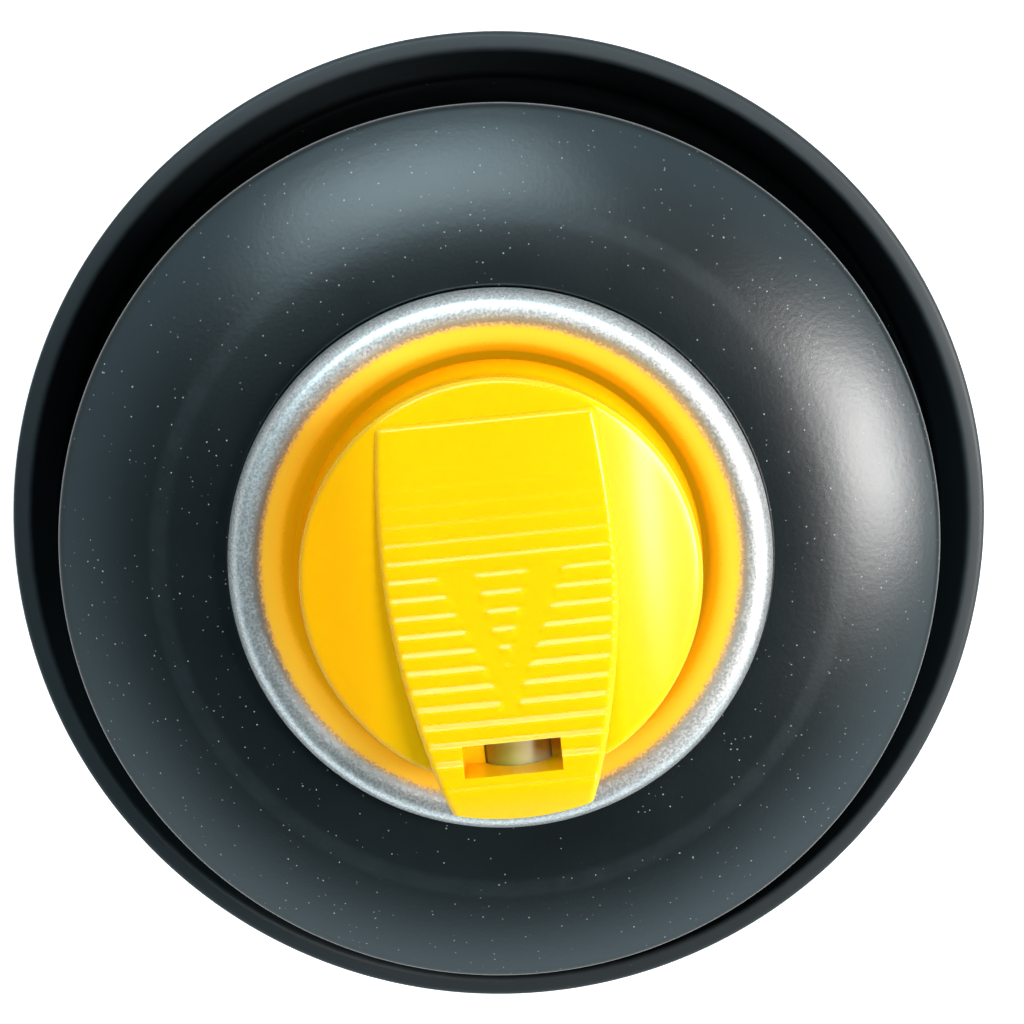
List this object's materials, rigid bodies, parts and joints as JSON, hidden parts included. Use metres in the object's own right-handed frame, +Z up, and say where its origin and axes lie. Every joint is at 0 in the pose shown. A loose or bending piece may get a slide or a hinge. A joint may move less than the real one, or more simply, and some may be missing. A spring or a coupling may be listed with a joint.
{
  "type": "aerosol spray paint can",
  "caption": "Tinplate spray paint can without its overcap: seamed can, moulded colour ring, one-inch valve and a ribbed push button with a nozzle insert.",
  "frame": {"origin": "middle of the bottom seam's lower face, on the plane that the can stands on", "axes": "+Z up the can's axis; the nozzle sprays along -Y; +X is to the right of a person looking along +Y"},
  "size_m": [0.0668, 0.0668, 0.1798],
  "materials": {
    "can_lacquer": "satin",
    "ring_plastic": "fine orange peel, matte",
    "tinplate": "satin, speckled",
    "yellow_plastic": "semi gloss",
    "insert_plastic": "smooth",
    "nylon": "smooth",
    "tube_plastic": "milky, smooth",
    "rubber": "matte",
    "steel": "polished"
  },
  "bodies": {
    "can": {"can_body": "can_lacquer", "can_top_cone": "can_lacquer", "can_bottom_end": "can_lacquer", "top_seam_compound": "rubber", "bottom_seam_compound": "rubber", "colour_ring": "ring_plastic", "valve_cup": "tinplate", "cup_gasket": "rubber", "stem_gasket": "rubber", "valve_housing": "nylon", "valve_spring": "steel", "dip_tube": "tube_plastic"},
    "stem": {"valve_stem": "nylon"},
    "button": {"actuator": "yellow_plastic"},
    "nozzle": {"nozzle_insert": "insert_plastic"},
    "ball_1": {"mixing_ball_1": "steel"},
    "ball_2": {"mixing_ball_2": "steel"}
  },
  "joints": [
    {"name": "valve_press", "type": "slide", "parent": "can", "child": "stem", "axis": [0, 0, -1], "range_m": [0, 0.0012], "stiffness_N_per_m": 9000, "springref_m": -0.001, "deforming": ["valve_spring"]},
    {"name": "button_turn", "type": "hinge", "parent": "stem", "child": "button", "pos_m": [0, 0, 0.175], "axis": [0, 0, 1], "continuous": true},
    {"name": "nozzle_turn", "type": "hinge", "parent": "button", "child": "nozzle", "pos_m": [0, -0.0121, 0.176], "axis": [0, -1, 0], "range_deg": [0, 90]},
    {"name": "ball_1_shake", "type": "slide", "parent": "can", "child": "ball_1", "axis": [0, 0, 1], "range_m": [0, 0.137]},
    {"name": "ball_2_shake", "type": "slide", "parent": "can", "child": "ball_2", "axis": [0, 0, 1], "range_m": [0, 0.137]}
  ]
}
